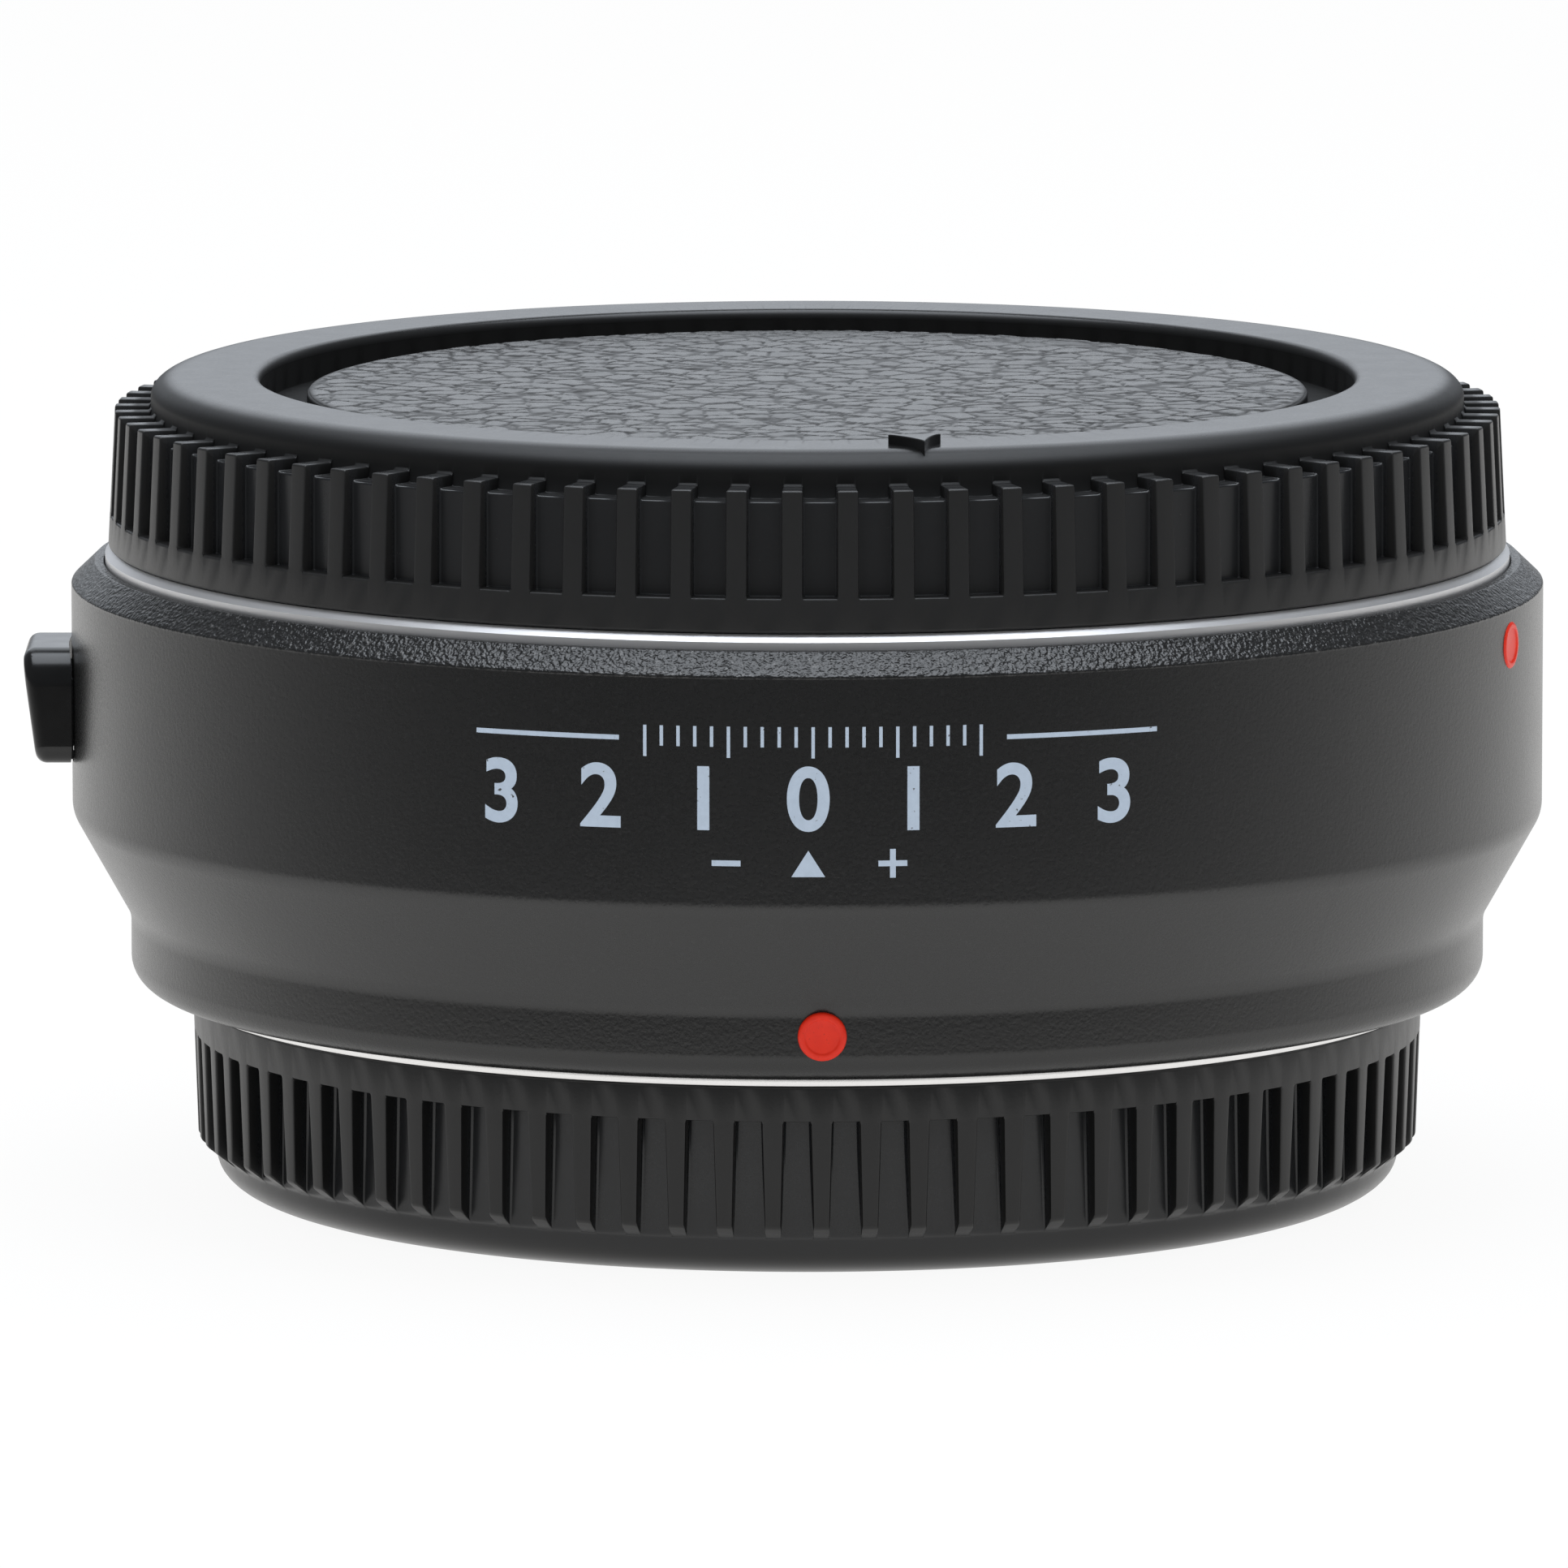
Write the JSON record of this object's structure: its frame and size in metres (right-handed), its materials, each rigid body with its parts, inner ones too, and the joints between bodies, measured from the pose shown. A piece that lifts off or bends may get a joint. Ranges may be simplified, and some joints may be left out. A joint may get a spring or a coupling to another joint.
{
  "type": "lens mount adapter",
  "caption": "Round black adapter ring between two bayonet lens mounts, with chrome mount rings, sprung contacts, a release lever and ribbed caps on both sides.",
  "frame": {"origin": "centre of the rear cap's flat underside, on which the part stands", "axes": "+Z along the optical axis towards the lens side, -Y towards the red dot of the camera side"},
  "size_m": [0.0652, 0.0632, 0.0356],
  "materials": {
    "black_barrel": "satin black, finely bead blasted and anodised",
    "black_frame": "matt black moulding",
    "chrome_ring": "satin chrome on brass",
    "spring_steel": "bare spring steel",
    "screw_steel": "bright",
    "contact_gold": "gold plated",
    "board_green": "solder mask",
    "chip_black": "moulded epoxy",
    "flex_amber": "polyimide film",
    "index_red": "gloss",
    "lever_black": "semi gloss black",
    "cap_black": "satin moulded black"
  },
  "bodies": {
    "adapter": {"outer_barrel": "black_barrel", "inner_frame": "black_frame", "lens_mount_ring": "chrome_ring", "mount_leaf_spring": "spring_steel", "lens_mount_screws": "screw_steel", "camera_mount_ring": "chrome_ring", "camera_mount_screws": "screw_steel", "lens_contact_block": "black_frame", "contact_sleeves": "contact_gold", "camera_contact_block": "black_frame", "camera_contact_pads": "contact_gold", "circuit_board": "board_green", "board_screws": "screw_steel", "controller_chip": "chip_black", "lens_flex": "flex_amber", "camera_flex": "flex_amber", "lock_spring": "spring_steel", "lens_index_dot": "index_red", "camera_index_dot": "index_red"},
    "release": {"release_lever": "lever_black", "release_carriage": "black_frame", "release_screws": "screw_steel", "lock_pin": "screw_steel"},
    "contact_pin_1": {"contact_pin_1": "contact_gold"},
    "contact_pin_2": {"contact_pin_2": "contact_gold"},
    "contact_pin_3": {"contact_pin_3": "contact_gold"},
    "contact_pin_4": {"contact_pin_4": "contact_gold"},
    "contact_pin_5": {"contact_pin_5": "contact_gold"},
    "contact_pin_6": {"contact_pin_6": "contact_gold"},
    "contact_pin_7": {"contact_pin_7": "contact_gold"},
    "contact_pin_8": {"contact_pin_8": "contact_gold"},
    "contact_pin_9": {"contact_pin_9": "contact_gold"},
    "body_cap": {"body_cap": "cap_black"},
    "rear_cap": {"rear_cap": "cap_black"}
  },
  "joints": [
    {"name": "release_slide", "type": "slide", "parent": "adapter", "child": "release", "axis": [0, 0, 1], "range_m": [-0.0012, 0], "stiffness_N_per_m": 600, "springref_m": 0.002, "deforming": ["lock_spring"]},
    {"name": "body_cap_turn", "type": "hinge", "parent": "adapter", "child": "body_cap", "pos_m": [0, 0, 0.02781], "axis": [0, 0, 1], "range_deg": [0, 60]},
    {"name": "rear_cap_turn", "type": "hinge", "parent": "adapter", "child": "rear_cap", "pos_m": [0, 0, 0.00839], "axis": [0, 0, 1], "range_deg": [-60, 0]},
    {"name": "contact_pin_1_press", "type": "slide", "parent": "adapter", "child": "contact_pin_1", "axis": [0, 0, 1], "range_m": [-0.0006, 0], "stiffness_N_per_m": 80, "springref_m": 0.0005},
    {"name": "contact_pin_2_press", "type": "slide", "parent": "adapter", "child": "contact_pin_2", "axis": [0, 0, 1], "range_m": [-0.0006, 0], "stiffness_N_per_m": 80, "springref_m": 0.0005},
    {"name": "contact_pin_3_press", "type": "slide", "parent": "adapter", "child": "contact_pin_3", "axis": [0, 0, 1], "range_m": [-0.0006, 0], "stiffness_N_per_m": 80, "springref_m": 0.0005},
    {"name": "contact_pin_4_press", "type": "slide", "parent": "adapter", "child": "contact_pin_4", "axis": [0, 0, 1], "range_m": [-0.0006, 0], "stiffness_N_per_m": 80, "springref_m": 0.0005},
    {"name": "contact_pin_5_press", "type": "slide", "parent": "adapter", "child": "contact_pin_5", "axis": [0, 0, 1], "range_m": [-0.0006, 0], "stiffness_N_per_m": 80, "springref_m": 0.0005},
    {"name": "contact_pin_6_press", "type": "slide", "parent": "adapter", "child": "contact_pin_6", "axis": [0, 0, 1], "range_m": [-0.0006, 0], "stiffness_N_per_m": 80, "springref_m": 0.0005},
    {"name": "contact_pin_7_press", "type": "slide", "parent": "adapter", "child": "contact_pin_7", "axis": [0, 0, 1], "range_m": [-0.0006, 0], "stiffness_N_per_m": 80, "springref_m": 0.0005},
    {"name": "contact_pin_8_press", "type": "slide", "parent": "adapter", "child": "contact_pin_8", "axis": [0, 0, 1], "range_m": [-0.0006, 0], "stiffness_N_per_m": 80, "springref_m": 0.0005},
    {"name": "contact_pin_9_press", "type": "slide", "parent": "adapter", "child": "contact_pin_9", "axis": [0, 0, 1], "range_m": [-0.0006, 0], "stiffness_N_per_m": 80, "springref_m": 0.0005}
  ]
}
